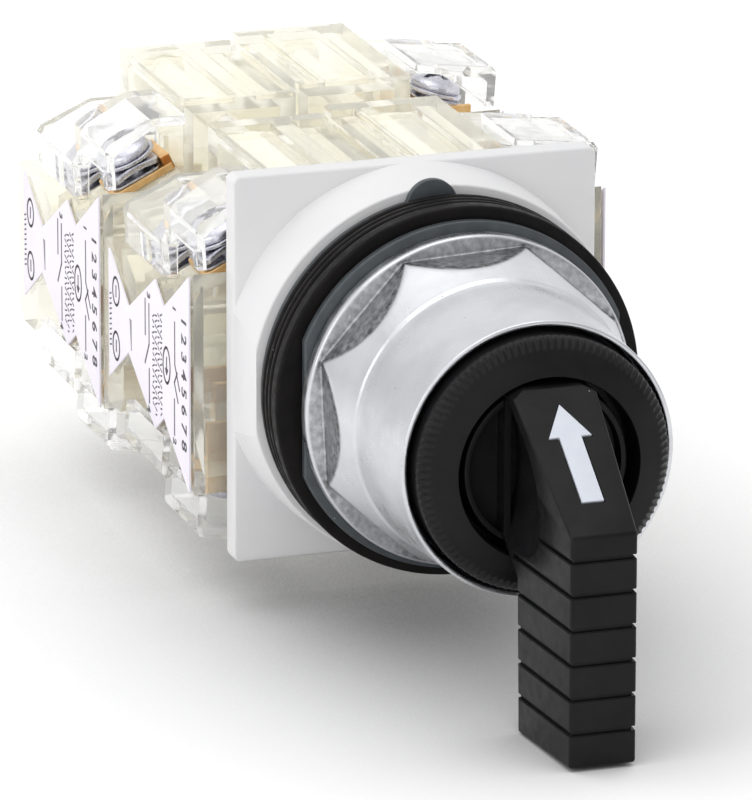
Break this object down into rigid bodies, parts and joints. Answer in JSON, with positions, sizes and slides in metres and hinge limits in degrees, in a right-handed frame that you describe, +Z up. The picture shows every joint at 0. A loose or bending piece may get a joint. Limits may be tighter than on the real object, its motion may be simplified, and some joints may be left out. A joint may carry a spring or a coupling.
{
  "type": "selector switch",
  "caption": "Panel selector switch with a long lever that turns a tilted cam and pushes clear contact blocks behind the panel.",
  "frame": {"origin": "on the operator's axis, in the front face of the square base flange", "axes": "-Y out of the panel toward the lever, +Y toward the contact blocks, +Z up with the arrow"},
  "size_m": [0.05, 0.1426, 0.0519],
  "materials": {
    "white_plastic": "satin white",
    "bushing_zinc": "cast, dull",
    "washer_steel": "dark grey, satin",
    "gasket_rubber": "matte",
    "nut_chrome": "bright plated",
    "black_plastic": "satin black",
    "arrow_white": "pale grey",
    "push_rod_nylon": "natural nylon",
    "guide_black": "matte black",
    "screw_steel": "plated",
    "spring_steel": "bright wire",
    "clear_housing": "clear polycarbonate, faint yellow",
    "clear_cover": "clear polycarbonate",
    "label_paper": "printed label",
    "carrier_plastic": "moulded",
    "terminal_brass": "brass with plated screws"
  },
  "bodies": {
    "switch": {"base_flange": "white_plastic", "threaded_bushing": "bushing_zinc", "locating_washer": "washer_steel", "thin_gasket_1": "gasket_rubber", "thin_gasket_2": "gasket_rubber", "thin_gasket_3": "gasket_rubber", "thick_gasket": "gasket_rubber", "trim_washer": "washer_steel", "ring_nut": "nut_chrome", "knurled_collar": "black_plastic", "guide_plate": "guide_black", "mounting_screw_1": "screw_steel", "mounting_screw_2": "screw_steel", "mounting_screw_3": "screw_steel", "mounting_screw_4": "screw_steel", "front_left_housing": "clear_housing", "front_left_label": "label_paper", "front_left_top_cover": "clear_cover", "front_left_bottom_cover": "clear_cover", "front_left_spring": "spring_steel", "front_left_terminal_1": "terminal_brass", "front_left_terminal_2": "terminal_brass", "front_left_terminal_3": "terminal_brass", "front_left_terminal_4": "terminal_brass", "front_right_housing": "clear_housing", "front_right_label": "label_paper", "front_right_top_cover": "clear_cover", "front_right_bottom_cover": "clear_cover", "front_right_spring": "spring_steel", "front_right_terminal_1": "terminal_brass", "front_right_terminal_2": "terminal_brass", "front_right_terminal_3": "terminal_brass", "front_right_terminal_4": "terminal_brass", "rear_left_housing": "clear_housing", "rear_left_label": "label_paper", "rear_left_top_cover": "clear_cover", "rear_left_bottom_cover": "clear_cover", "rear_left_spring": "spring_steel", "rear_left_terminal_1": "terminal_brass", "rear_left_terminal_2": "terminal_brass", "rear_left_terminal_3": "terminal_brass", "rear_left_terminal_4": "terminal_brass", "rear_right_housing": "clear_housing", "rear_right_label": "label_paper", "rear_right_top_cover": "clear_cover", "rear_right_bottom_cover": "clear_cover", "rear_right_spring": "spring_steel", "rear_right_terminal_1": "terminal_brass", "rear_right_terminal_2": "terminal_brass", "rear_right_terminal_3": "terminal_brass", "rear_right_terminal_4": "terminal_brass"},
    "lever": {"selector_lever": "black_plastic", "pointer_arrow": "arrow_white", "cam_shaft": "push_rod_nylon"},
    "left_contacts": {"left_push_rod": "push_rod_nylon", "front_left_carrier": "carrier_plastic", "rear_left_carrier": "carrier_plastic"},
    "right_contacts": {"right_push_rod": "push_rod_nylon", "front_right_carrier": "carrier_plastic", "rear_right_carrier": "carrier_plastic"}
  },
  "joints": [
    {"name": "lever_turn", "type": "hinge", "parent": "switch", "child": "lever", "pos_m": [0, 0, 0], "axis": [0, 1, 0], "range_deg": [-45, 45]},
    {"name": "left_contacts_slide", "type": "slide", "parent": "switch", "child": "left_contacts", "axis": [0, 1, 0], "range_m": [-0.0022, 0.0022], "deforming": ["front_left_spring", "rear_left_spring"]},
    {"name": "right_contacts_slide", "type": "slide", "parent": "switch", "child": "right_contacts", "axis": [0, 1, 0], "range_m": [-0.0022, 0.0022], "deforming": ["front_right_spring", "rear_right_spring"]}
  ],
  "couplings": [
    {"joint": "left_contacts_slide", "follows": "lever_turn", "m_per_rad": -0.0025465},
    {"joint": "right_contacts_slide", "follows": "lever_turn", "m_per_rad": 0.0025465}
  ]
}
